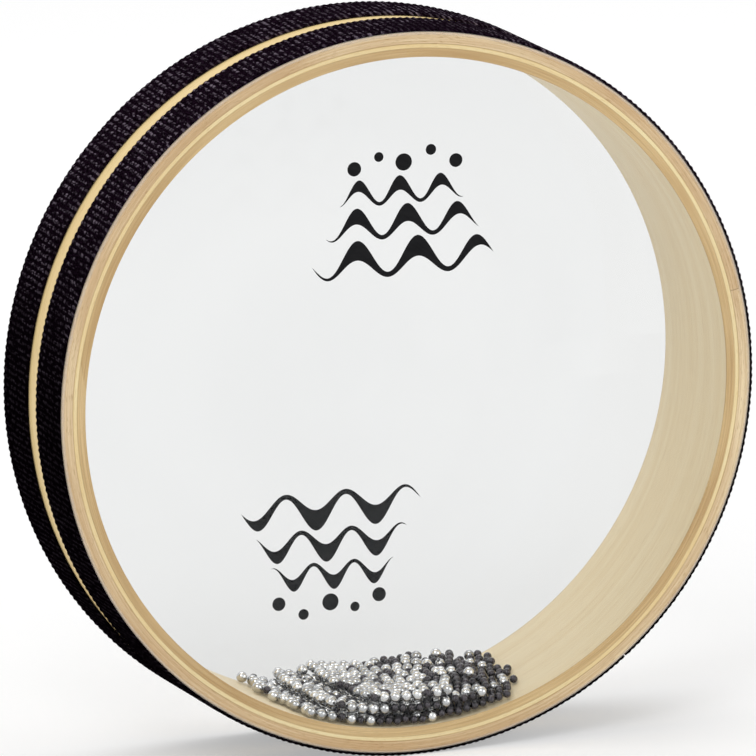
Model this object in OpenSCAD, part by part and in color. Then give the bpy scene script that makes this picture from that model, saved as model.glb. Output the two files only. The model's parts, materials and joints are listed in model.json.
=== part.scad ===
// Ocean drum: a bent-wood shell closed by two clear film heads, with loose metal beads inside.
// It stands on its rim. The drum's axis is Y, the front head faces -Y and +Z is up.

/* [Shell] */
// Outside diameter of the wooden shell
shell_d = 251.1; // [200:0.1:400]
// Depth of the wooden shell, from edge to edge
shell_depth = 58.4; // [45:0.1:90]
// Thickness of the outer ply
outer_ply_t = 3.9; // [2.5:0.1:6]
// Thickness of the pale core ply
core_ply_t = 1.4; // [0.8:0.1:3]
// Thickness of the inner ply
inner_ply_t = 3.1; // [2:0.1:6]
// Rounding of the shell's outside edges, under the heads
edge_r = 0.5; // [0.3:0.1:1.2]

/* [Heads] */
// Thickness of the clear film
film_t = 0.25; // [0.15:0.01:0.5]
// Length of the turned-down skirt, from the head's face
skirt_l = 12; // [6:0.5:16]

/* [Tapes] */
// Width of the bare wooden strip between the tapes
bare_strip_w = 10.5; // [3:0.5:16]
// Thickness of the woven tape
tape_t = 1.1; // [0.6:0.1:2]
// Rounding of the tape's outside edges
tape_edge_r = 0.4; // [0.1:0.1:0.5]
// Slit where the two ends of a tape meet
tape_slit = 0.5; // [0.2:0.1:1]

/* [Beads] */
// Diameter of a bright steel bead
steel_d = 4; // [3.6:0.1:5]
// Diameter of a dark bead
dark_d = 3; // [2:0.1:3.4]
// Half the angle that the heap takes along the wall, in degrees
heap_half_angle = 22; // [14:1:30]

/* [Hidden] */

bond = 0.05;            // glue line between two layers
kerf = 0.15;            // glue line where the ends of a ply meet
overrun = 2;            // how far a cut runs past what it cuts
bead_gap = 0.08;        // between two beads of one course
course_gap = 0.12;      // between two courses
wall_gap = 0.25;        // between the beads and the shell
smooth = 96;
scarf_slope = 72;       // slant of a scarf, in degrees from the radius
outer_butt_at = 12;     // where each joint lies, in degrees from +X towards +Z
core_scarf_at = 60;
inner_scarf_at = 172;
front_slit_at = -52;
back_slit_at = -38;

shell_r = shell_d / 2;
core_r = shell_r - outer_ply_t - bond;
inner_r = core_r - core_ply_t - bond;
bore_r = inner_r - inner_ply_t;
skirt_r = shell_r + bond;
tape_r = skirt_r + film_t + bond;
head_z = shell_depth / 2 + bond;
drum_half_depth = head_z + film_t;
bend_r = edge_r + film_t;
tape_edge_z = drum_half_depth - bend_r;
tape_inner_z = bare_strip_w / 2;
tape_w = tape_edge_z - tape_inner_z;

course_t = steel_d + course_gap;
row_pitch = steel_d + bead_gap;
row_room = 2 * (shell_depth / 2 - wall_gap) - steel_d;
rows = floor(row_room / row_pitch) + 1;
loose_share = 2 / 5;    // share of a dark bead's spare room that it is moved by, each way
bead_smooth = 24;

// Bead courses: half angle at mid depth, less this much for each course, in degrees
course_steps = [0, 4.5, 11];
// The heap is narrower at the front head, in degrees
front_draw = 3;
// The bottom course reaches further up the right wall at the back, in degrees
back_lean = 0.5;
// Share of the front's narrowing that the left end has at the back head
back_draw_share = 2 / 5;

// Chance that a bead is steel: at mid heap, and the least and the most anywhere
steel_share = 0.36;
steel_least_share = 0.1;
steel_most_share = 0.93;
// It grows for each course up, falls from the left end to the right, and is less in the front rows
course_steel_share = 0.12;
side_steel_share = 0.5;
front_rows_share = 0.8;
front_dark_share = 0.25;

// Random numbers for one row, and the first seed of a course and of a row
draws = 400;
course_seed = 40;
row_seed = 7;

// Turns a shape made about Z so that its axis is Y, its +Z end at the back
module about_y() {
    rotate([-90, 0, 0]) children();
}

// Half section of a disc with one rounded corner, from the axis outwards
module rounded_section(r, z, corner) {
    union() {
        square([r - corner, z]);
        square([r, z - corner]);
        translate([r - corner, z - corner]) circle(r = corner, $fn = smooth);
    }
}

// One bent strip whose ends meet in a slanting scarf
module ply(outside_r, thick, scarf_at) {
    difference() {
        about_y() difference() {
            cylinder(h = shell_depth, r = outside_r, center = true, $fn = smooth);
            cylinder(h = shell_depth + overrun, r = outside_r - thick, center = true, $fn = smooth);
        }
        scarf_cut(outside_r - thick / 2, thick, scarf_at);
    }
}

module scarf_cut(mid_r, thick, at) {
    rotate([0, -at, 0]) translate([mid_r, 0, 0]) rotate([0, scarf_slope, 0])
        cube([(thick + overrun) / cos(scarf_slope), shell_depth + overrun, kerf], center = true);
}

// A straight cut through a hoop, square to its run
module butt_cut(mid_r, thick, from_y, to_y, gap, at) {
    rotate([0, -at, 0]) translate([mid_r, (from_y + to_y) / 2, 0])
        cube([thick + overrun, to_y - from_y + overrun, gap], center = true);
}

module shell_outer_ply() {
    color("burlywood") difference() {
        about_y() difference() {
            rotate_extrude($fn = smooth) union() {
                rounded_section(shell_r, shell_depth / 2, edge_r);
                mirror([0, 1]) rounded_section(shell_r, shell_depth / 2, edge_r);
            }
            cylinder(h = shell_depth + overrun, r = shell_r - outer_ply_t, center = true, $fn = smooth);
        }
        butt_cut(shell_r - outer_ply_t / 2, outer_ply_t,
                 -shell_depth / 2, shell_depth / 2, kerf, outer_butt_at);
    }
}

module shell_core_ply() {
    color("wheat") ply(core_r, core_ply_t, core_scarf_at);
}

module shell_inner_ply() {
    color("burlywood") ply(inner_r, inner_ply_t, inner_scarf_at);
}

// A flat film with its edge turned down over the shell
module head() {
    about_y() rotate_extrude($fn = smooth) difference() {
        rounded_section(skirt_r + film_t, drum_half_depth, bend_r);
        rounded_section(skirt_r, head_z, edge_r);
        square([skirt_r + film_t + overrun, drum_half_depth - skirt_l]);
    }
}

module front_head() {
    color([0.93, 0.94, 0.95, 0.3]) mirror([0, 1, 0]) head();
}

module back_head() {
    color([0.93, 0.94, 0.95, 0.3]) head();
}

// A woven strip wound once round, its ends butted
module tape(slit_at) {
    difference() {
        about_y() rotate_extrude($fn = smooth) union() {
            translate([tape_r, tape_inner_z]) square([tape_t - tape_edge_r, tape_w]);
            translate([tape_r, tape_inner_z + tape_edge_r]) square([tape_t, tape_w - 2 * tape_edge_r]);
            for (z = [tape_inner_z + tape_edge_r, tape_edge_z - tape_edge_r])
                translate([tape_r + tape_t - tape_edge_r, z]) circle(r = tape_edge_r, $fn = smooth);
        }
        butt_cut(tape_r + tape_t / 2, tape_t, tape_inner_z, tape_edge_z, tape_slit, slit_at);
    }
}

module front_tape() {
    color([0.06, 0.05, 0.06]) mirror([0, 1, 0]) tape(front_slit_at);
}

module back_tape() {
    color([0.06, 0.05, 0.06]) tape(back_slit_at);
}

// A bead is [angle from the bottom towards +X, distance from the axis, y, diameter]
function row_y(j) = (j - (rows - 1) / 2) * row_pitch;
function depth_share(j) = 2 * j / (rows - 1) - 1;
function right_end(c, j) = heap_half_angle - course_steps[c]
    - (depth_share(j) < 0 ? front_draw * pow(depth_share(j), 2) : 0)
    + (c == 0 ? back_lean * max(0, depth_share(j)) : 0);
function left_end(c, j) = -(heap_half_angle - course_steps[c]
    - front_draw * pow(depth_share(j), 2) * (depth_share(j) < 0 ? 1 : back_draw_share));
function course_r(c) = bore_r - wall_gap - c * course_t;

// Steel gathers at the left and on top, and the dark beads sink to the bottom and the right
function steel_chance(a, c, j) =
    min(steel_most_share, max(steel_least_share,
        steel_share + course_steel_share * c - side_steel_share * a / heap_half_angle
        - (c == 0 && depth_share(j) < -front_rows_share ? front_dark_share : 0)));

function spot(a, c, j, u) =
    let (steel = u[0] < steel_chance(a, c, j),
         d = steel ? steel_d : dark_d,
         spare = steel_d - d)
    [a, course_r(c) - d / 2 - spare * u[1], row_y(j) + spare * loose_share * (2 * u[2] - 1), d];

function step_angle(p, q) = (p[3] / 2 + q[3] / 2 + bead_gap) / min(p[1], q[1]) * 180 / PI;

function lay(prev, c, j, i, u) =
    let (q = spot(prev[0], c, j, [for (k = [0:2]) u[3 * i + k]]),
         a = prev[0] + step_angle(prev, q))
    a > right_end(c, j) ? [] :
        let (now = [a, q[1], q[2], q[3]]) concat([now], lay(now, c, j, i + 1, u));

function row_of(c, j) =
    let (u = rands(0, 1, draws, course_seed * c + j + row_seed),
         a = left_end(c, j) + u[draws - 1],
         first = spot(a, c, j, u))
    concat([first], lay(first, c, j, 1, u));

courses = [for (c = [0:2]) [for (j = [0:rows - 1]) row_of(c, j)]];

module bead(p) {
    translate([p[1] * sin(p[0]), p[2], -p[1] * cos(p[0])]) sphere(d = p[3], $fn = bead_smooth);
}

module course(c, d) {
    for (row = courses[c]) for (p = row) if (p[3] == d) bead(p);
}

module steel(c) {
    color("silver") course(c, steel_d);
}

module dark(c) {
    color([0.2, 0.18, 0.2]) course(c, dark_d);
}

// A runner lies on the wall at the end of one row and can roll on up the wall
left_rows = [4, 7, rows - 2];
right_rows = [3, 6, rows - 3];

module left_runner(n) {
    first = courses[0][left_rows[n]][0];
    p = [0, course_r(0) - steel_d / 2, row_y(left_rows[n]), steel_d];
    color("silver") bead([first[0] - step_angle(first, p), p[1], p[2], p[3]]);
}

module right_runner(n) {
    row = courses[0][right_rows[n]];
    last = row[len(row) - 1];
    p = [0, course_r(0) - dark_d / 2, row_y(right_rows[n]), dark_d];
    color([0.2, 0.18, 0.2]) bead([last[0] + step_angle(last, p), p[1], p[2], p[3]]);
}

// A crest bead lies on the shoulder beside the top course and can roll to and fro between the heads
crest_sides = [-1, 1, 1];
crest_rows = [rows - 4, 3, rows - 3];
crest_clear_angle = 2.8;
crest_angle = heap_half_angle - course_steps[2] + crest_clear_angle;

module crest_bead(n) {
    color("silver")
        bead([crest_sides[n] * crest_angle, course_r(2) - steel_d / 2, row_y(crest_rows[n]), steel_d]);
}

shell_outer_ply();
shell_core_ply();
shell_inner_ply();
front_head();
back_head();
front_tape();
back_tape();
steel(0);  // bed_steel_beads
dark(0);  // bed_dark_beads
steel(1);  // middle_steel_beads
dark(1);  // middle_dark_beads
steel(2);  // top_steel_beads
dark(2);  // top_dark_beads
left_runner(0);  // left_runner_1
left_runner(1);  // left_runner_2
left_runner(2);  // left_runner_3
right_runner(0);  // right_runner_1
right_runner(1);  // right_runner_2
right_runner(2);  // right_runner_3
crest_bead(0);  // crest_bead_1
crest_bead(1);  // crest_bead_2
crest_bead(2);  // crest_bead_3
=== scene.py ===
import json
import math

import bmesh
import bpy
from mathutils import Matrix, Vector


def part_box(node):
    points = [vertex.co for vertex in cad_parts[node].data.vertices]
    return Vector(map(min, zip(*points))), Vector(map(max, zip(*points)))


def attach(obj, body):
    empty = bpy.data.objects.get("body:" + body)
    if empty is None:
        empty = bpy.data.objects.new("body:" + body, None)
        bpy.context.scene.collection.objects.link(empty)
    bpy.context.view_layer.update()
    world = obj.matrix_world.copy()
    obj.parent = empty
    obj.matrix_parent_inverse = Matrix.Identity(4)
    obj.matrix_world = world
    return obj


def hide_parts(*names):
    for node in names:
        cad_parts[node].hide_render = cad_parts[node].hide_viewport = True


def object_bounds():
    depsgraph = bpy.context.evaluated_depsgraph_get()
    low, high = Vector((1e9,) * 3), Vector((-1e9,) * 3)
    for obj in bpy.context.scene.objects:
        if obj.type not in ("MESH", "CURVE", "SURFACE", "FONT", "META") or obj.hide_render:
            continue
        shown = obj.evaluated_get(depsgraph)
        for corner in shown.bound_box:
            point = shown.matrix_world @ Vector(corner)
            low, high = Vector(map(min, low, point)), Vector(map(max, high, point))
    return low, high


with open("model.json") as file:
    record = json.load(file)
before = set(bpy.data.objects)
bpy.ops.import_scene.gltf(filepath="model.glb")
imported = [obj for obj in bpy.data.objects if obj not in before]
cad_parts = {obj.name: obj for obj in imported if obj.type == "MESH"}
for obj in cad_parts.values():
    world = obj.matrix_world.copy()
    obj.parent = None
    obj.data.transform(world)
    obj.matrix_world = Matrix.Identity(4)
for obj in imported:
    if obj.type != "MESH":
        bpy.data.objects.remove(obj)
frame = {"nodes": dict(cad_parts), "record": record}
cad_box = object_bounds()


# Outer ply
# The shell's outside layer is one strip of pale hardwood, steamed, bent round and butted end to end.
# Its front and back edges are sanded flush with the other plies and eased at the outside corner.

MM = 0.001


class Wire:
    """A node socket whose sums add nodes, so that a finish or a weave reads as arithmetic."""

    def __init__(self, tree, socket=None):
        self.tree = tree
        self.socket = socket

    def node(self, kind, settings=(), sockets=(), out=0):
        """Adds a node with these settings and sockets, and returns the wire of one of its outputs."""
        made = self.tree.nodes.new(kind)
        for name, value in dict(settings).items():
            setattr(made, name, value)
        for name, value in dict(sockets).items():
            if isinstance(value, Wire):
                self.tree.links.new(value.socket, made.inputs[name])
            else:
                made.inputs[name].default_value = value
        return Wire(self.tree, made.outputs[out] if len(made.outputs) else None)

    def outputs(self):
        """All the outputs of the node that this wire comes from."""
        return self.socket.node.outputs

    def parts(self):
        """The x, y and z of a vector."""
        split = self.node("ShaderNodeSeparateXYZ", sockets={0: self})
        return [Wire(self.tree, split.outputs()[n]) for n in range(3)]

    def maths(self, operation, *others):
        """One maths node, with this wire first."""
        return self.node("ShaderNodeMath", {"operation": operation}, enumerate((self,) + others))

    def __add__(self, other):
        return self.maths("ADD", other)

    def __sub__(self, other):
        return self.maths("SUBTRACT", other)

    def __rsub__(self, other):
        return self.node("ShaderNodeMath", {"operation": "SUBTRACT"}, {0: other, 1: self})

    def __mul__(self, other):
        return self.maths("MULTIPLY", other)

    def __truediv__(self, other):
        return self.maths("DIVIDE", other)

    __radd__ = __add__

    def rise(self, low, high):
        """0 below low, 1 above high, and a smooth rise between."""
        sockets = {"Value": self, "From Min": low, "From Max": high}
        return self.node("ShaderNodeMapRange", {"interpolation_type": "SMOOTHSTEP"}, sockets)

    def blend(self, under, over):
        """The colour under where this is 0, and over where it is 1."""
        return self.node("ShaderNodeMix", {"data_type": "RGBA"}, {0: self, 6: under, 7: over}, out=2)

    def grain(self, x, y, z, detail=2.0, seed=0.0):
        """Soft noise from 0 to 1 at the point x, y, z, with features about one unit across."""
        place = self.node("ShaderNodeCombineXYZ", sockets={0: x, 1: y, 2: z})
        sockets = {"Vector": place, "W": seed, "Scale": 1.0, "Detail": detail}
        return self.node("ShaderNodeTexNoise", {"noise_dimensions": "4D"}, sockets)


def new_finish(name):
    """A material with nothing in it but its output, and the wire to build it with."""
    finish = bpy.data.materials.new(name)
    finish.use_nodes = True
    finish.node_tree.nodes.clear()
    return finish, Wire(finish.node_tree)


def close_finish(wire, shader):
    """Joins a shader to the material's output."""
    wire.node("ShaderNodeOutputMaterial", sockets={"Surface": shader})


def place_mm(wire):
    """The place of a point of the surface, as x, y and z in millimetres."""
    at = wire.node("ShaderNodeTexCoord", out=3)
    return [part * (1 / MM) for part in at.parts()]


def run_and_radius(x, z, cosine, sine):
    """Distance round from a joint, whose direction has this cosine and sine, and distance from the axis."""
    ahead = (x * cosine + z * sine) * -1
    aside = x * sine - z * cosine
    radius = (x * x + z * z).maths("SQRT")
    return aside.maths("ARCTAN2", ahead) * radius, radius


def round_the_drum(wire, joint_at=0, slant=0.0, mean_r=1.0):
    """Distance round from a joint, distance from the axis, and distance along the axis, in millimetres.

    A slanting joint lies at joint_at degrees where the distance from the axis is mean_r, in metres.
    """
    x, y, z = place_mm(wire)
    radius = (x * x + z * z).maths("SQRT")
    turn = radius * (-slant * MM / mean_r) + (math.radians(joint_at) + slant)
    return *run_and_radius(x, z, turn.maths("COSINE"), turn.maths("SINE")), y


def colour(red, green, blue):
    """A colour given as it shows on a screen, 0 to 255 a channel, in the linear light that a socket takes."""
    screen_gamma = 2.2
    return tuple((c / 255) ** screen_gamma for c in (red, green, blue)) + (1.0,)


def place_mesh(name, mesh):
    """An object of this name in the scene, with this mesh."""
    piece = bpy.data.objects.new(name, mesh)
    bpy.context.scene.collection.objects.link(piece)
    return piece


def place_shape(name, shape):
    """An object of this name in the scene, made of a bmesh with its faces turned outwards."""
    bmesh.ops.recalc_face_normals(shape, faces=shape.faces)
    mesh = bpy.data.meshes.new(name)
    shape.to_mesh(mesh)
    shape.free()
    return place_mesh(name, mesh)


def revolve(name, outline, joint_at, joint, slant=0.0, steps=480):
    """A strip bent round the axis, from its section as a list of (distance from the axis, y).

    Its ends are a distance joint apart. With slant, they are cut on a slope, which runs this far round for
    each unit outwards.
    """
    shape = bmesh.new()
    mean_r = sum(r for r, y in outline) / len(outline)
    gap = joint / mean_r
    rings = []
    for i in range(steps + 1):
        angle = math.radians(joint_at) + gap / 2 + (2 * math.pi - gap) * i / steps
        ring = []
        for r, y in outline:
            turned = angle - slant * (r - mean_r) / mean_r
            ring.append(shape.verts.new((r * math.cos(turned), y, r * math.sin(turned))))
        rings.append(ring)
    for here, there in zip(rings, rings[1:]):
        for j in range(len(outline)):
            k = (j + 1) % len(outline)
            shape.faces.new((here[j], here[k], there[k], there[j]))
    shape.faces.new(rings[0])
    shape.faces.new(reversed(rings[-1]))
    return place_shape(name, shape)


def soften(piece, sharp_over=40):
    """Shades a mesh smooth, and keeps its edges sharper than this many degrees crisp."""
    for face in piece.data.polygons:
        face.use_smooth = True
    piece.data.set_sharp_from_angle(angle=math.radians(sharp_over))


def spread(low, high, count):
    """Evenly spaced values from low to high, both included."""
    return [low + (high - low) * i / count for i in range(count + 1)]


def corner(r, y, size, start, steps=5):
    """A quarter circle round (r, y), from start degrees onwards."""
    turns = (math.radians(start + 90 * i / steps) for i in range(steps + 1))
    return [(r + size * math.cos(t), y + size * math.sin(t)) for t in turns]


def hoop_sizes(node):
    """Outside radius and half depth of a hoop in the frame, in metres."""
    low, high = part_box(node)
    return max(high.x, -low.x, high.z), (high.y - low.y) / 2


def ply_outline(inside_r, outside_r, half_depth, inside_round, outside_round):
    """A ply's section, its four corners eased."""
    return (
        corner(outside_r - outside_round, half_depth - outside_round, outside_round, 0)
        + corner(inside_r + inside_round, half_depth - inside_round, inside_round, 90)
        + corner(inside_r + inside_round, inside_round - half_depth, inside_round, 180)
        + corner(outside_r - outside_round, outside_round - half_depth, outside_round, 270)
    )


def wood_finish(name, joint_at, half_depth, pale, deep, pore, seed, cut_edge, glued_at,
                slant=0.0, mean_r=1.0, streak=1.0):
    """Bent veneer: fine grain running round the hoop, darker pores, and a cut edge of its own colour."""
    finish, wire = new_finish(name)
    run, radius, y = round_the_drum(wire, joint_at, slant, mean_r)
    bands = wire.grain(run * 0.004, radius * 0.5, y * 0.32, detail=3.0, seed=seed)
    lines = wire.grain(run * 0.02, radius * 3.0, y * 2.6, detail=3.0, seed=seed + 3)
    ticks = wire.grain(run * 0.16, radius * 5.5, y * 5.5, detail=1.0, seed=seed + 7)
    patches = wire.grain(run * 0.012, radius * 0.05, y * 0.05, seed=seed + 11)
    tone = bands * 0.5 + lines * 0.34 * streak + patches * 0.3 - 0.07
    pore_depth = 0.45
    face = tone.rise(0.3, 0.72).blend(deep, pale)
    face = (ticks.rise(0.6, 0.72) * pore_depth).blend(face, pore)

    edge_y = half_depth / MM
    cut_from, cut_full = 0.7, 0.15
    cut = y.maths("ABSOLUTE").rise(edge_y - cut_from, edge_y - cut_full)
    streaks = wire.grain(run * 0.03, radius * 2.2, y * 0.2, detail=3.0, seed=seed + 5)
    edge_pores = wire.grain(run * 0.35, radius * 3.6, y * 0.3, detail=1.0, seed=seed + 9)
    edge_pore_depth = 0.5
    edge_pale, edge_deep = cut_edge
    edge = (streaks * 0.6 + patches * 0.55 - 0.08).rise(0.3, 0.75).blend(edge_deep, edge_pale)
    edge = (edge_pores.rise(0.58, 0.7) * edge_pore_depth).blend(edge, pore)
    glue_waver, glue_dark, glue_half, glue_fade = 0.3, 0.6, 0.04, 0.26
    for glued_r in glued_at:
        off_line = (radius + (streaks - 0.5) * glue_waver - glued_r / MM).maths("ABSOLUTE")
        edge = ((1 - off_line.rise(glue_half, glue_fade)) * glue_dark).blend(edge, pore)

    bump = wire.node("ShaderNodeBump", sockets={
        "Strength": 0.25, "Distance": 0.08 * MM, "Height": lines * 0.6 + ticks * 0.4,
    })
    close_finish(wire, wire.node("ShaderNodeBsdfPrincipled", sockets={
        "Base Color": cut.blend(face, edge), "Roughness": 0.42 + lines * 0.2 + cut * 0.12, "Normal": bump,
        "Coat Weight": 0.12, "Coat Roughness": 0.3,
    }))
    return finish


def dress(piece, finish, body, slot, *nodes):
    """Gives a piece its finish and its body, and hides the frame's nodes that it stands for. slot is not
    used.
    """
    piece.data.materials.clear()
    piece.data.materials.append(finish)
    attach(piece, body)
    if nodes:
        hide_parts(*nodes)


outer_r, half_depth = hoop_sizes("shell_outer_ply")
core_r, _ = hoop_sizes("shell_core_ply")
inner_r, _ = hoop_sizes("shell_inner_ply")
glue = 0.02 * MM
ply_kerf = 0.15 * MM


def ply(name, inside_r, outside_r, inside_round, outside_round, joint_at, slant=0.0, **looks):
    """One layer of the shell: a strip bent round, its corners eased, its ends a kerf apart."""
    outline = ply_outline(inside_r, outside_r, half_depth, inside_round, outside_round)
    piece = revolve(name + "_ply_wood", outline, joint_at, ply_kerf, slant)
    soften(piece)
    finish = wood_finish(name + "_ply_grain", joint_at, half_depth, slant=slant, **looks)
    dress(piece, finish, "drum", name + "_wood", "shell_" + name + "_ply")


ply(
    "outer", core_r + glue, outer_r, inside_round=0.12 * MM, outside_round=0.5 * MM, joint_at=12, seed=1,
    pale=colour(244, 220, 162), deep=colour(228, 196, 132), pore=colour(170, 128, 74),
    cut_edge=(colour(247, 224, 182), colour(206, 168, 120)), glued_at=(core_r,),
)


# Core ply
# A thinner layer of the palest wood, bent in between the two others, its ends cut to a long slanting scarf.
# Only its two sanded edges show, as a light line between the face plies.

scarf_slant = math.tan(math.radians(72))
ply(
    "core", inner_r + glue, core_r, inside_round=0.06 * MM, outside_round=0.06 * MM, joint_at=60, seed=21,
    slant=scarf_slant, mean_r=(inner_r + core_r) / 2,
    pale=colour(240, 220, 172), deep=colour(226, 200, 146), pore=colour(214, 180, 122),
    cut_edge=(colour(253, 236, 186), colour(240, 210, 150)), glued_at=(core_r, inner_r),
)


# Inner ply
# The chamber's wall, of the same pale hardwood as the outer ply, left smooth so that the beads run freely.
# Its ends meet in a long slanting scarf at the left side.

inner_ply_t = 3.1 * MM
bore_r = inner_r - inner_ply_t
ply(
    "inner", bore_r, inner_r, inside_round=0.2 * MM, outside_round=0.1 * MM, joint_at=172, seed=41,
    slant=scarf_slant, mean_r=(bore_r + inner_r) / 2, streak=1.4,
    pale=colour(250, 234, 198), deep=colour(238, 216, 172), pore=colour(202, 172, 124),
    cut_edge=(colour(236, 206, 152), colour(190, 152, 98)), glued_at=(inner_r,),
)


# Heads
# Two discs of clear polyester film, shrunk tight over the shell, their edges turned down and glued to its
# outside. The film is flat, but for ripples of a tenth of a millimetre where it was drawn over the rim.

film_r, _ = hoop_sizes("front_head")
film_t = 0.25 * MM
print_t = 0.02 * MM
fold_r = 0.75 * MM
skirt_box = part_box("back_head")
skirt_y, face_y = skirt_box[0].y, skirt_box[1].y

film_finish, wire = new_finish("head_film")
run, radius, y = round_the_drum(wire)
grazing = wire.node("ShaderNodeLayerWeight", sockets={"Blend": 0.25}, out=1)
creases = wire.grain(run * 0.5, radius * 0.2, y * 0.2, seed=4)
haze = wire.grain(run * 0.008, radius * 0.016, y * 0.01, seed=9).rise(0.35, 0.65)
fold_from, fold_to = film_r / MM - 1.3, film_r / MM - 0.7
fold = radius.rise(fold_from, fold_to)
face_sheen = 0.008 + haze * 0.012 + grazing * 0.2
# At the fold the film turns into a pale pinkish, non-metallic layer, up to about a third opaque and broken by
# creases. It is a painted highlight of the bend catching the light.
fold_painted_highlight = fold * (0.05 + creases * 0.3)
film_gloss = wire.node("ShaderNodeBsdfPrincipled", sockets={
    "Base Color": fold.blend((0.34, 0.35, 0.36, 1), (0.8, 0.72, 0.62, 1)),
    "Metallic": 1 - fold, "Roughness": 0.06 + fold * 0.2,
})
see_through = wire.node("ShaderNodeBsdfTransparent", sockets={"Color": (0.969, 0.971, 0.97, 1)})
close_finish(wire, wire.node("ShaderNodeMixShader", sockets={
    0: face_sheen + fold_painted_highlight, 1: see_through, 2: film_gloss,
}))


def film_side(face, skirt_r, round_r):
    """Half the section of one side of the film: across the face, round the fold and down the skirt."""
    face_rings, bend_rings, skirt_rings = 36, 6, 4
    middle_r = 2 * MM
    bend_r, bend_y = film_r - fold_r, face_y - print_t - fold_r
    turns = spread(0, math.pi / 2, bend_rings)
    flat = [(r, face) for r in spread(middle_r, bend_r, face_rings)]
    bend = [(bend_r + round_r * math.sin(t), bend_y + round_r * math.cos(t)) for t in turns]
    skirt = [(skirt_r, y) for y in spread(bend_y, skirt_y, skirt_rings)]
    return flat[:-1] + bend + skirt[1:]


def head(name, side):
    """A film disc with its edge turned down, on the side given as 1 for the back and -1 for the front."""
    steps = 360
    ripple_from, ripple_wide, ripple_height = 0.8, 0.12, 0.03 * MM
    long_ripples, short_ripples = 7, 12
    face = face_y - print_t
    shape = bmesh.new()
    hems = []
    outer_side = film_side(face, film_r, fold_r)
    inner_side = film_side(face - film_t, film_r - film_t, fold_r - film_t)
    for outline in (outer_side, inner_side):
        middle = shape.verts.new((0, side * outline[0][1], 0))
        rings = []
        for i in range(steps):
            angle = 2 * math.pi * i / steps
            waves = math.sin(long_ripples * angle + 1) + math.sin(short_ripples * angle)
            ripple = ripple_height * (waves - 2)
            ring = []
            for r, y in outline:
                near_wall = min(1, max(0, (r / film_r - ripple_from) / ripple_wide))
                drawn = ripple * near_wall * (1 - near_wall) * 4
                ring.append(shape.verts.new((r * math.cos(angle), side * (y + drawn), r * math.sin(angle))))
            rings.append(ring)
        for i in range(steps):
            here, there = rings[i], rings[(i + 1) % steps]
            shape.faces.new((middle, here[0], there[0]))
            for j in range(len(outline) - 1):
                shape.faces.new((here[j], here[j + 1], there[j + 1], there[j]))
        hems.append([ring[-1] for ring in rings])
    outside, inside = hems
    for i in range(steps):
        k = (i + 1) % steps
        shape.faces.new((outside[i], outside[k], inside[k], inside[i]))
    piece = place_shape(name, shape)
    soften(piece)
    return piece


dress(head("front_film", -1), film_finish, "drum", "clear_film", "front_head")
dress(head("back_film", 1), film_finish, "drum", "clear_film", "back_head")


# Printed waves
# Each head carries a small screen print in black ink, high on the front and, upside down, low on the back.
# It is a plain ornament of three rows of swelling waves with drops above them.

ink_finish, wire = new_finish("print_ink")
run, radius, y = round_the_drum(wire)
mottle = wire.grain(run * 0.5, radius * 0.5, y, seed=5)
close_finish(wire, wire.node("ShaderNodeBsdfPrincipled", sockets={
    "Base Color": mottle.rise(0.2, 0.8).blend((0.004, 0.004, 0.005, 1), (0.009, 0.009, 0.01, 1)),
    "Roughness": 0.3 + mottle * 0.15, "Specular IOR Level": 0.08,
}))


def wave_stroke(row, low, tall, thick):
    """The upper and lower line of one tapered wave, whose height, swell and width are in millimetres."""
    steps = 72
    half_wide, narrowing, row_lag = 33 * MM, 0.16, 0.9
    thin, swelling, tip = 0.62, 0.38, 0.05 * MM
    reach = half_wide * (1 - narrowing * row)
    upper, lower = [], []
    for i in range(steps + 1):
        share = 2 * i / steps - 1
        wave = math.sin(3 * math.pi * share + row_lag * row)
        z = (low + tall * wave) * MM
        half_thick = thick * MM * (1 - share ** 4) * (thin + swelling * wave) / 2 + tip
        upper.append((reach * share, z + half_thick))
        lower.append((reach * share, z - half_thick))
    return upper, lower


def wave_print(name, side, centre_x, centre_z, flip):
    """Three tapered wave strokes and a row of drops, as thin films of ink on a head."""
    shape = bmesh.new()
    face = side * face_y
    back = side * (face_y - print_t)

    def lay(points):
        """The outer and the inner vertices of a line of points in the print."""
        spots = [(centre_x + flip * x, centre_z + flip * z) for x, z in points]
        top = [shape.verts.new((x, face, z)) for x, z in spots]
        under = [shape.verts.new((x, back, z)) for x, z in spots]
        return top, under

    # In millimetres: a wave's height above the middle, its swell and its stroke's width, and a drop's place
    # and radius.
    wave_rows = ((-15, 4.6, 7.2), (-2.5, 4.0, 6.2), (8.6, 3.4, 5.0))
    drops = ((-17, 18, 2.5), (-8, 21.5, 1.7), (1, 19, 3.0), (11, 22.5, 1.9), (20, 18, 2.4))
    drop_sides = 28
    for row, (low, tall, thick) in enumerate(wave_rows):
        upper, lower = wave_stroke(row, low, tall, thick)
        (top_up, under_up), (top_down, under_down) = lay(upper), lay(lower)
        for i in range(len(upper) - 1):
            shape.faces.new((top_up[i], top_up[i + 1], top_down[i + 1], top_down[i]))
            shape.faces.new((under_up[i], under_up[i + 1], under_down[i + 1], under_down[i]))
            shape.faces.new((top_up[i], top_up[i + 1], under_up[i + 1], under_up[i]))
            shape.faces.new((top_down[i], top_down[i + 1], under_down[i + 1], under_down[i]))
        for i in (0, len(upper) - 1):
            shape.faces.new((top_up[i], top_down[i], under_down[i], under_up[i]))
    for x, z, radius in drops:
        turns = spread(0, 2 * math.pi, drop_sides)[:-1]
        top, under = lay([((x + radius * math.cos(t)) * MM, (z + radius * math.sin(t)) * MM) for t in turns])
        shape.faces.new(top)
        shape.faces.new(under)
        for i in range(len(top)):
            k = (i + 1) % len(top)
            shape.faces.new((top[i], top[k], under[k], under[i]))
    return place_shape(name, shape)


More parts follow.
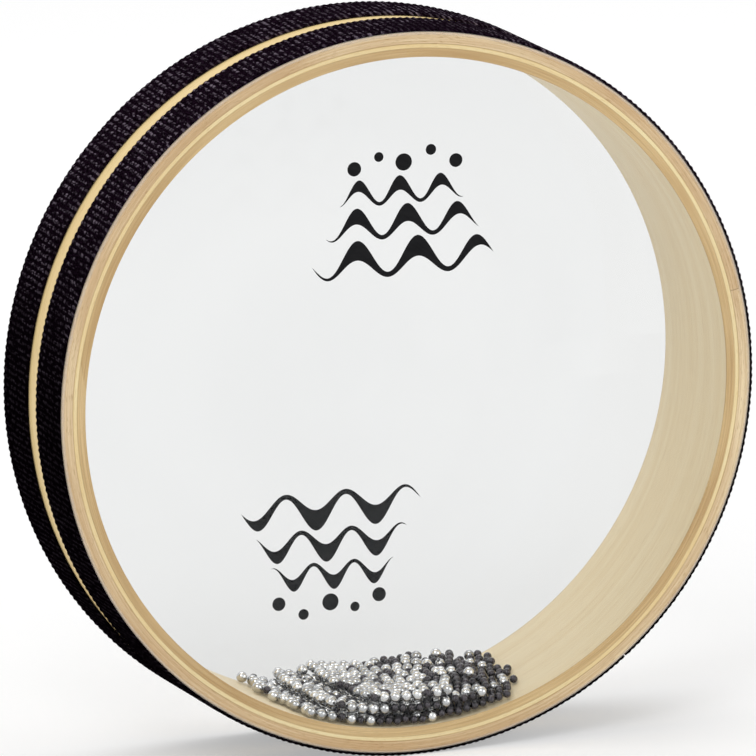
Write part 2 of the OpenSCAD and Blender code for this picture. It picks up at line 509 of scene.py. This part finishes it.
front_print = wave_print("front_wave_print", -1, centre_x=-1 * MM, centre_z=62 * MM, flip=1)
back_print = wave_print("back_wave_print", 1, centre_x=-8 * MM, centre_z=-65 * MM, flip=-1)
dress(front_print, ink_finish, "drum", "clear_film")
dress(back_print, ink_finish, "drum", "clear_film")


# Tapes
# Two strips of black cotton webbing, each wound once round the shell over a head's turned edge and glued.
# Ribs with knots of yarn on them run across the webbing, and its selvedges are slightly wavy.

tape_r, _ = hoop_sizes("front_tape")
tape_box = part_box("back_tape")
tape_glue = 0.05 * MM
tape_inner_r = film_r + tape_glue


def new_tree(name, inputs):
    """A Geometry Nodes tree with these named inputs, the wire to build it with, and its group input."""
    tree = bpy.data.node_groups.new(name, "GeometryNodeTree")
    tree.interface.new_socket("Geometry", in_out="INPUT", socket_type="NodeSocketGeometry")
    for label, kind in inputs:
        tree.interface.new_socket(label, in_out="INPUT", socket_type="NodeSocket" + kind)
    tree.interface.new_socket("Geometry", in_out="OUTPUT", socket_type="NodeSocketGeometry")
    given = tree.nodes.new("NodeGroupInput")
    wires = {socket.name: Wire(tree, socket) for socket in given.outputs if socket.name}
    return tree, Wire(tree), wires


def store(wire, geometry, name, value, domain="POINT"):
    """Keeps a number for each point or instance under a name, for a material to read."""
    settings = {"data_type": "FLOAT", "domain": domain}
    sockets = {"Geometry": geometry, "Name": name, "Value": value}
    return wire.node("GeometryNodeStoreNamedAttribute", settings, sockets)


def stored(wire, name):
    """The number that was kept under a name."""
    return wire.node("ShaderNodeAttribute", {"attribute_name": name}, out=2)


def grow(piece, tree, values):
    """Runs a tree on a piece with these inputs, and keeps what it makes as the piece's plain mesh."""
    modifier = piece.modifiers.new(tree.name, "NODES")
    modifier.node_group = tree
    for item in tree.interface.items_tree:
        if item.in_out == "INPUT" and item.name in values:
            modifier[item.identifier] = values[item.name]
    graph = bpy.context.evaluated_depsgraph_get()
    made = bpy.data.meshes.new_from_object(
        piece.evaluated_get(graph), preserve_all_data_layers=True, depsgraph=graph)
    piece.modifiers.clear()
    piece.data = made


weave, wire, given = new_tree("ribbed_weave", (
    ("Slit", "Float"), ("Inside radius", "Float"), ("Outside radius", "Float"), ("Rib run", "Float"),
    ("Knot run", "Float"), ("Knot row", "Float"), ("Relief", "Float"), ("Waver", "Float"),
    ("Seed", "Float"), ("Finish", "Material"),
))
rib_slant, rows_a_seed, waves_a_metre = 0.03, 50, 160.0
x, y, z = wire.node("GeometryNodeInputPosition").parts()
run, radius = run_and_radius(x, z, given["Slit"].maths("COSINE"), given["Slit"].maths("SINE"))
row = y / given["Knot row"]
rib = ((run / given["Rib run"] + row * rib_slant) * math.tau).maths("SINE") * 0.5 + 0.5
cell = wire.node("ShaderNodeCombineXYZ", sockets={
    0: run / given["Knot run"], 1: row + given["Seed"] * rows_a_seed, 2: 0.0,
})
knots = wire.node(
    "ShaderNodeTexVoronoi", {"voronoi_dimensions": "2D"}, {"Vector": cell, "Scale": 1.0, "Randomness": 0.8},
)
tint, _, _ = Wire(weave, knots.outputs()["Color"]).parts()
knot = (1 - knots.rise(0.1, 0.7)) * rib.rise(0.1, 0.8)
outside = radius.rise(given["Inside radius"], given["Outside radius"])
sink = (knot * 0.3 + rib * 0.7 - 1) * given["Relief"] * outside
selvedge = wire.grain(run * waves_a_metre, given["Seed"], 0.0, detail=1.0, seed=2)
waver = (selvedge - 0.5) * given["Waver"]
offset = wire.node("ShaderNodeCombineXYZ", sockets={0: x / radius * sink, 1: waver, 2: z / radius * sink})
moved = wire.node("GeometryNodeSetPosition", sockets={"Geometry": given["Geometry"], "Offset": offset})
marked = store(wire, store(wire, moved, "knot", knot), "tint", tint)
dyed = wire.node("GeometryNodeSetMaterial", sockets={"Geometry": marked, "Material": given["Finish"]})
wire.node("NodeGroupOutput", sockets={0: dyed})

tape_finish, wire = new_finish("ribbed_cotton")
run, radius, y = round_the_drum(wire)
_, _, height = place_mm(wire)
# upper is painted top light: it rises with height, so that the lint flecks and the paler yarn in the ground
# show mostly on the upper half of each tape, as if lit from above.
top_light_from, top_light_to = -5, 105
upper = height.rise(top_light_from, top_light_to)
yarn = wire.grain(run * 2.2, radius * 2.2, y * 1.4, seed=3)
lint = wire.grain(run * 0.025, radius * 0.025, y * 0.06, seed=8)
lint_and_top_light = stored(wire, "tint").rise(0.05, 1.0) * lint.rise(0.2, 0.7) * (0.05 + upper * 0.95)
# catch is a painted highlight: pale purple-grey glints on the knot crests, set in random patches of lint and
# strongest on the upper half.
painted_knot_glints = (stored(wire, "knot") + yarn * 0.9 - 0.45).rise(0.2, 0.8) * (0.04 + lint_and_top_light * 0.96)
ground_with_top_light = (yarn.rise(0.42, 0.66) * upper).blend((0.0011, 0.0005, 0.001, 1), (0.016, 0.007, 0.016, 1))
bump = wire.node("ShaderNodeBump", sockets={"Strength": 0.6, "Distance": 0.2 * MM, "Height": yarn})
close_finish(wire, wire.node("ShaderNodeBsdfPrincipled", sockets={
    "Base Color": painted_knot_glints.blend(ground_with_top_light, (0.19, 0.155, 0.195, 1)),
    "Roughness": 0.75, "Specular IOR Level": 0.0, "Normal": bump,
}))


def tape(name, side, slit_at, seed):
    """A webbing hoop on the side given as 1 for the back and -1 for the front."""
    low, high = tape_box[0].y, tape_box[1].y
    ease, slit = 0.35 * MM, 0.5 * MM
    rows_across, steps_round = 46, 1800
    half_way = math.sqrt(0.5) * ease
    outline = [
        (tape_inner_r, low), (tape_r - ease, low), (tape_r - ease + half_way, low + ease - half_way),
        *((tape_r, y) for y in spread(low + ease, high - ease, rows_across)),
        (tape_r - ease + half_way, high - ease + half_way), (tape_r - ease, high), (tape_inner_r, high),
    ]
    piece = revolve(name, [(r, side * y) for r, y in outline], slit_at, slit, steps=steps_round)
    soften(piece, sharp_over=60)
    grow(piece, weave, {
        "Slit": math.radians(slit_at), "Inside radius": tape_inner_r, "Outside radius": tape_r,
        "Rib run": 2.4 * MM, "Knot run": 1.2 * MM, "Knot row": 2.4 * MM, "Relief": 0.32 * MM,
        "Waver": 0.4 * MM, "Seed": seed, "Finish": tape_finish,
    })
    return piece


front_webbing = tape("front_webbing", -1, slit_at=-52, seed=1.0)
back_webbing = tape("back_webbing", 1, slit_at=-38, seed=2.0)
dress(front_webbing, tape_finish, "drum", "black_tape", "front_tape")
dress(back_webbing, tape_finish, "drum", "black_tape", "back_tape")


# Beads
# The chamber holds two kinds of loose ball that hiss as they run: bright polished steel and smaller
# dark ones. Each lies where its solid lies in the frame, and they are made as one mesh for each lot.

def bead_finish(name, base, lift, rough, coat):
    """Polished metal whose brightness differs a little from ball to ball."""
    finish, wire = new_finish(name)
    shade = stored(wire, "bead_shade")
    at = wire.node("ShaderNodeTexCoord", out=3)
    smear = wire.node("ShaderNodeTexNoise", sockets={"Vector": at, "Scale": 700.0, "Detail": 2.0})
    close_finish(wire, wire.node("ShaderNodeBsdfPrincipled", sockets={
        "Base Color": (shade * 0.7 + smear * 0.5 - 0.1).blend(base, lift), "Metallic": 1.0,
        "Roughness": rough + smear * 0.12 + shade * 0.05, "Coat Weight": coat, "Coat Roughness": 0.08,
    }))
    return finish


bead_finishes = {
    "bright_steel": bead_finish(
        "bright_balls", base=(0.33, 0.335, 0.34, 1), lift=(0.86, 0.865, 0.87, 1), rough=0.04, coat=0.0),
    "dark_steel": bead_finish(
        "dark_balls", base=(0.012, 0.009, 0.013, 1), lift=(0.045, 0.037, 0.047, 1), rough=0.26, coat=0.9),
}

scatter, wire, given = new_tree("bead_lot", (("Finish", "Material"), ("Seed", "Int")))
ball = wire.node("GeometryNodeMeshIcoSphere", sockets={"Radius": 0.5, "Subdivisions": 2})
ball = wire.node("GeometryNodeSetShadeSmooth", sockets={"Geometry": ball, "Shade Smooth": True})
size = wire.node("GeometryNodeInputNamedAttribute", {"data_type": "FLOAT"}, {"Name": "size"})
turn = wire.node(
    "FunctionNodeRandomValue", {"data_type": "FLOAT_VECTOR"},
    {"Max": (math.tau, math.tau, math.tau), "Seed": given["Seed"]},
)
laid = wire.node("GeometryNodeInstanceOnPoints", sockets={
    "Points": given["Geometry"], "Instance": ball, "Rotation": turn, "Scale": size,
})
shade = wire.node("FunctionNodeRandomValue", {"data_type": "FLOAT"}, {"Seed": given["Seed"]}, out=1)
shaded = store(wire, laid, "bead_shade", shade, "INSTANCE")
real = wire.node("GeometryNodeRealizeInstances", sockets={"Geometry": shaded})
dipped = wire.node("GeometryNodeSetMaterial", sockets={"Geometry": real, "Material": given["Finish"]})
wire.node("NodeGroupOutput", sockets={0: dipped})


def ball_places(node):
    """The centre and diameter of each loose ball in one of the frame's nodes."""
    shape = bmesh.new()
    shape.from_mesh(frame["nodes"][node].data)
    bmesh.ops.remove_doubles(shape, verts=shape.verts, dist=0.001 * MM)
    places = []
    seen = set()
    for first in shape.verts:
        if first in seen:
            continue
        seen.add(first)
        group, waiting = [], [first]
        while waiting:
            vert = waiting.pop()
            group.append(vert.co.copy())
            for edge in vert.link_edges:
                other = edge.other_vert(vert)
                if other not in seen:
                    seen.add(other)
                    waiting.append(other)
        low = Vector(min(co[n] for co in group) for n in range(3))
        high = Vector(max(co[n] for co in group) for n in range(3))
        places.append(((low + high) / 2, max(high - low)))
    shape.free()
    return places


def bead_lot(node, body, slot, seed):
    """One mesh with a small ball at each place of a node's balls."""
    places = ball_places(node)
    mesh = bpy.data.meshes.new(node + "_balls")
    mesh.from_pydata([place for place, size in places], [], [])
    sizes = mesh.attributes.new("size", "FLOAT", "POINT")
    sizes.data.foreach_set("value", [size for place, size in places])
    piece = place_mesh(node + "_balls", mesh)
    grow(piece, scatter, {"Finish": bead_finishes[slot], "Seed": seed})
    dress(piece, bead_finishes[slot], body, slot, node)


slots = {part["node"]: part["material_slot"] for part in frame["record"]["subparts"]}
for number, (body, members) in enumerate(frame["record"]["behaviour"]["bodies"].items()):
    if body != "drum":
        for node in members:
            bead_lot(node, body, slots[node], number)


# Floor, lights and camera
# The drum stands on a wide pale floor under soft studio lamps, and is seen from the left and a little above.
# The camera's place, direction and long lens are those that fit the drum in the photo.

floor_wide, floor_z = 30, cad_box[0].z
bpy.ops.mesh.primitive_plane_add(size=floor_wide, location=(0, 0, floor_z))
floor = bpy.context.object
floor.name = "studio_floor"


def seen_share(wire):
    """1 for light that the camera sees, straight, mirrored or through the film, and 0 for the rest."""
    rays = wire.node("ShaderNodeLightPath").outputs()
    seen = ("Is Camera Ray", "Is Glossy Ray", "Is Transmission Ray")
    return sum(Wire(wire.tree, rays[ray]) for ray in seen)


floor_finish, wire = new_finish("studio_floor")
at = wire.node("ShaderNodeTexCoord", out=3)
far_off, near_glow, far_gain = 1.4, 0.385, 0.085
far = at.node("ShaderNodeVectorMath", {"operation": "LENGTH"}, {0: at}, out=1).rise(0.0, far_off)
shown = seen_share(wire)
glow = shown * (near_glow + far * far_gain)
close_finish(wire, wire.node("ShaderNodeBsdfPrincipled", sockets={
    "Base Color": shown.blend((0.95, 0.95, 0.95, 1), (0.6, 0.6, 0.6, 1)),
    "Roughness": 0.9, "Specular IOR Level": 0.1,
    "Emission Color": glow.blend((0, 0, 0, 1), (1, 1, 1, 1)), "Emission Strength": 1.0,
}))
floor.data.materials.append(floor_finish)

world = bpy.data.worlds.new("studio")
bpy.context.scene.world = world
world.use_nodes = True
world.node_tree.nodes.clear()
wire = Wire(world.node_tree)
shown_light, room_light = 1.0, 0.54
sky = wire.node("ShaderNodeBackground", sockets={
    "Color": (1, 1, 1, 1), "Strength": seen_share(wire) * (shown_light - room_light) + room_light,
})
wire.node("ShaderNodeOutputWorld", sockets={"Surface": sky})


def lamp(name, place, size, power):
    """A square soft lamp aimed at the drum."""
    data = bpy.data.lights.new(name, "AREA")
    data.size = size
    data.energy = power
    made = bpy.data.objects.new(name, data)
    bpy.context.scene.collection.objects.link(made)
    made.location = place
    made.rotation_euler = (-Vector(place)).to_track_quat("-Z", "Y").to_euler()


lamp("key_lamp", place=(-1.2, -1.6, 1.9), size=1.3, power=23)
lamp("fill_lamp", place=(1.6, -1.7, 0.5), size=1.6, power=17)
lamp("top_lamp", place=(0.2, 0.6, 2.2), size=1.5, power=17)

camera_data = bpy.data.cameras.new("camera")
camera = bpy.data.objects.new("camera", camera_data)
bpy.context.scene.collection.objects.link(camera)
bpy.context.scene.camera = camera
camera_data.sensor_width = 36
camera_data.lens = 767.5
camera_data.clip_start, camera_data.clip_end = 0.1, 60
camera_at = Vector((-1.8519, -5.1073, 1.1310))
right = Vector((0.9384, -0.3449, -0.0214))
up = Vector((0.0900, 0.1841, 0.9788))
look = Vector((0.3337, 0.9204, -0.2038))
stand = Matrix((right, up, -look)).transposed().to_4x4()
stand.translation = camera_at
camera.matrix_world = stand
bpy.context.scene.view_settings.view_transform = "Standard"
